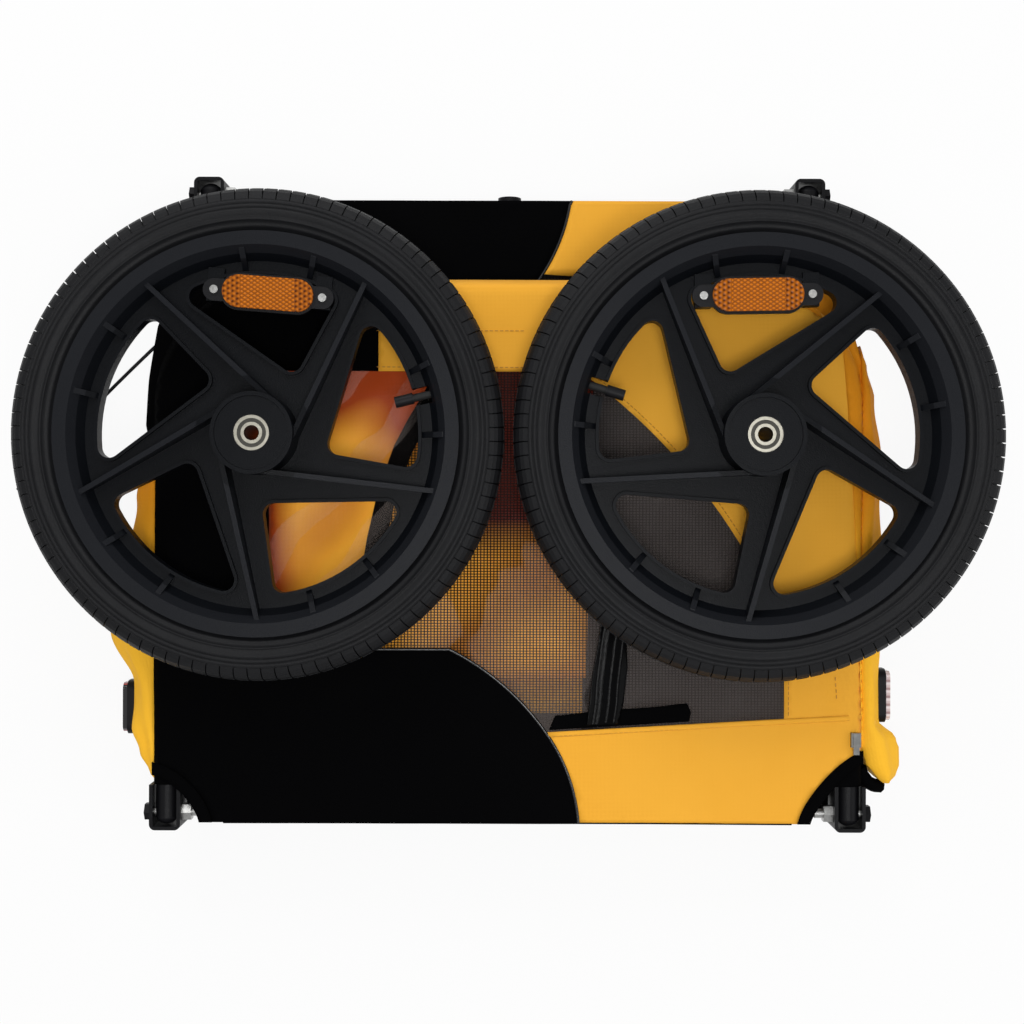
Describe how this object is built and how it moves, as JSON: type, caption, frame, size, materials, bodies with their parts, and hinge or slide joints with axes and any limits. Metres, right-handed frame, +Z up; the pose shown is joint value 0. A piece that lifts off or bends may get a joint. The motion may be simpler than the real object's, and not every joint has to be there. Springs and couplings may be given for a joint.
{
  "type": "dog bike trailer",
  "caption": "Dog bike trailer folded flat: yellow and black cloth sides with a clear window, and both spoked plastic wheels taken off and laid on top",
  "frame": {"origin": "under the middle of the folded pack, on the ground", "axes": "+X to the front of the trailer, +Y to its far side, +Z up"},
  "size_m": [0.8236, 0.555, 0.1646],
  "materials": {
    "frame_black": "satin black powder coat",
    "spreader_metal": "satin black powder coat",
    "zinc": "bright zinc plate",
    "floor_cloth": "coated cloth on a stiff board",
    "yellow_cloth": "woven coated polyester, yellow",
    "black_cloth": "woven coated polyester, black",
    "net": "fine knitted net, dark",
    "clear_film": "clear soft film, glossy and creased",
    "plug_plastic": "moulded black plastic",
    "clear_lens": "clear prismatic lens",
    "red_lens": "red prismatic lens",
    "amber_lens": "amber prismatic lens",
    "wheel_plastic": "moulded black nylon",
    "tyre_rubber": "black tyre rubber",
    "tube_rubber": "black butyl rubber",
    "shield_cream": "cream bearing seal"
  },
  "bodies": {
    "base": {"near_rail": "frame_black", "far_rail": "frame_black", "front_cross_tube": "frame_black", "rear_cross_tube": "frame_black", "floor_panel": "floor_cloth", "near_front_bracket": "frame_black", "near_rear_bracket": "frame_black", "far_front_bracket": "frame_black", "far_rear_bracket": "frame_black", "hinge_bolts": "zinc", "hinge_nuts": "zinc", "near_axle_socket": "frame_black", "far_axle_socket": "frame_black", "tow_socket": "frame_black"},
    "near_side": {"near_arch": "frame_black", "near_arch_plugs": "plug_plastic", "near_panel_yellow": "yellow_cloth", "near_panel_black": "black_cloth", "near_window_film": "clear_film", "near_window_net": "net", "roof_bundle": "yellow_cloth", "front_curtain": "yellow_cloth", "rear_curtain": "yellow_cloth", "front_reflector_housing": "plug_plastic", "front_reflector_lens": "clear_lens", "rear_reflector_housing": "plug_plastic", "rear_reflector_lens": "red_lens"},
    "far_side": {"far_arch": "frame_black", "far_arch_plugs": "plug_plastic", "far_panel_yellow": "yellow_cloth", "far_panel_black": "black_cloth", "far_window_net": "net", "spreader_bars": "spreader_metal", "flag_pole": "plug_plastic"},
    "zip_pull": {"zip_slider": "zinc"},
    "left_core": {"left_bearing_inner_rings": "zinc", "left_hub_sleeve": "zinc"},
    "left_wheel": {"left_tyre": "tyre_rubber", "left_inner_tube": "tube_rubber", "left_wheel_body": "wheel_plastic", "left_hub_discs": "wheel_plastic", "left_bearing_outer_rings": "zinc", "left_bearing_shields": "shield_cream", "left_valve_cap": "plug_plastic", "left_wheel_reflector_housing": "plug_plastic", "left_wheel_reflector_lens": "amber_lens", "left_wheel_reflector_screws": "zinc"},
    "right_core": {"right_bearing_inner_rings": "zinc", "right_hub_sleeve": "zinc"},
    "right_wheel": {"right_tyre": "tyre_rubber", "right_inner_tube": "tube_rubber", "right_wheel_body": "wheel_plastic", "right_hub_discs": "wheel_plastic", "right_bearing_outer_rings": "zinc", "right_bearing_shields": "shield_cream", "right_valve_cap": "plug_plastic", "right_wheel_reflector_housing": "plug_plastic", "right_wheel_reflector_lens": "amber_lens", "right_wheel_reflector_screws": "zinc"}
  },
  "joints": [
    {"name": "near_unfold", "type": "hinge", "parent": "base", "child": "near_side", "pos_m": [0.01132, -0.2635, 0.076], "axis": [1, 0, 0], "range_deg": [0, 90], "deforming": ["near_panel_yellow", "near_panel_black", "near_window_film", "near_window_net", "roof_bundle", "front_curtain", "rear_curtain"]},
    {"name": "far_unfold", "type": "hinge", "parent": "base", "child": "far_side", "pos_m": [0.01132, 0.2635, 0.038], "axis": [-1, 0, 0], "range_deg": [0, 90], "deforming": ["far_panel_yellow", "far_panel_black", "far_window_net"]},
    {"name": "zip_travel", "type": "slide", "parent": "near_side", "child": "zip_pull", "axis": [0, 1, 0], "range_m": [0, 0.3]},
    {"name": "left_lift", "type": "slide", "parent": "near_side", "child": "left_core", "axis": [0, -0.5645, 0.8254], "range_m": [0, 0.3392]},
    {"name": "left_spin", "type": "hinge", "parent": "left_core", "child": "left_wheel", "pos_m": [-0.19018, 0.051, 0.1266], "axis": [0, 0, 1], "continuous": true},
    {"name": "right_lift", "type": "slide", "parent": "near_side", "child": "right_core", "axis": [0, -0.5645, 0.8254], "range_m": [0, 0.3392]},
    {"name": "right_spin", "type": "hinge", "parent": "right_core", "child": "right_wheel", "pos_m": [0.21282, 0.051, 0.1266], "axis": [0, 0, 1], "continuous": true}
  ],
  "couplings": [
    {"joint": "far_unfold", "follows": "near_unfold", "ratio": 1},
    {"joint": "left_lift", "follows": "near_unfold", "m_per_rad": 0.21592},
    {"joint": "right_lift", "follows": "near_unfold", "m_per_rad": 0.21592}
  ]
}
